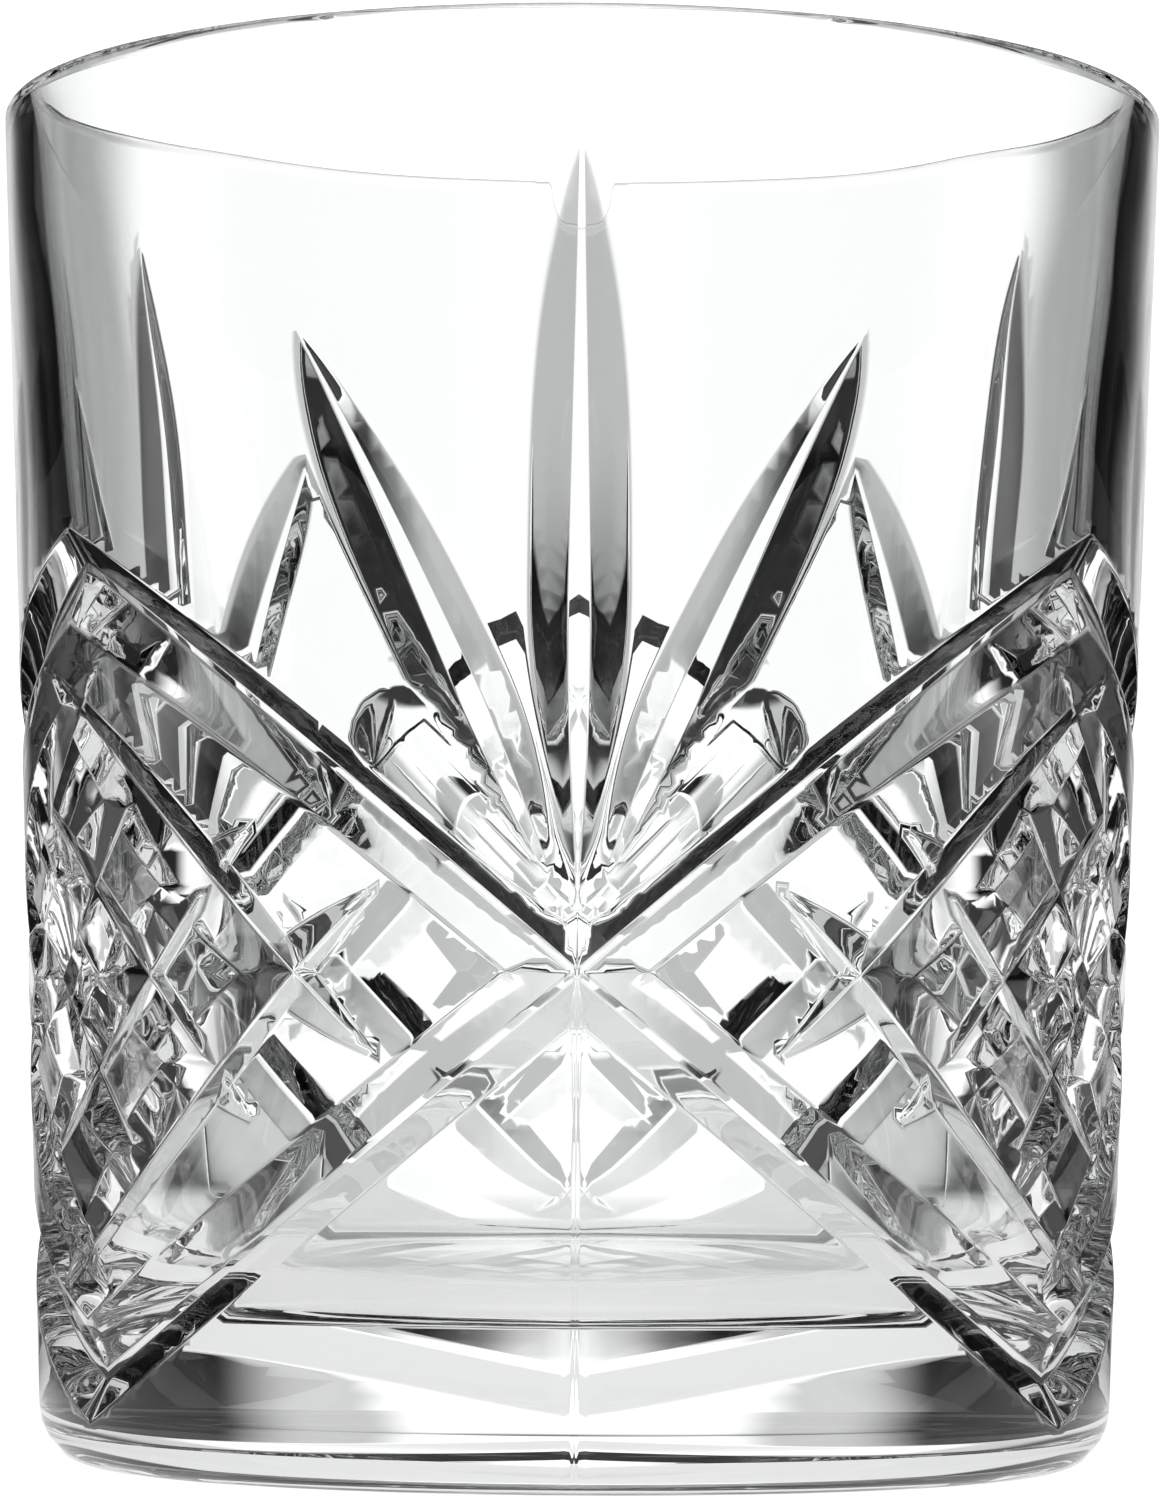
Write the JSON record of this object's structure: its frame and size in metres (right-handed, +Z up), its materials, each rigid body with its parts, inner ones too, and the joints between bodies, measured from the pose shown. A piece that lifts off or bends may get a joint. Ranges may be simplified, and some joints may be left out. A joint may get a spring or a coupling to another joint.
{
  "type": "whiskey tumbler",
  "caption": "Low straight-sided drinking glass with a thick base, crossed V grooves, fans of pointed leaves and panels of small diamonds pressed into its wall.",
  "frame": {"origin": "middle of the standing ring, on the surface that the glass stands on", "axes": "+Z up the glass's axis to the rim; -Y faces the middle of one fan of leaves, where two arms cross"},
  "size_m": [0.0818, 0.0818, 0.095],
  "materials": {
    "clear_glass": "fire-polished, clear and colourless"
  },
  "bodies": {
    "root": {"tumbler_glass": "clear_glass"}
  },
  "joints": []
}
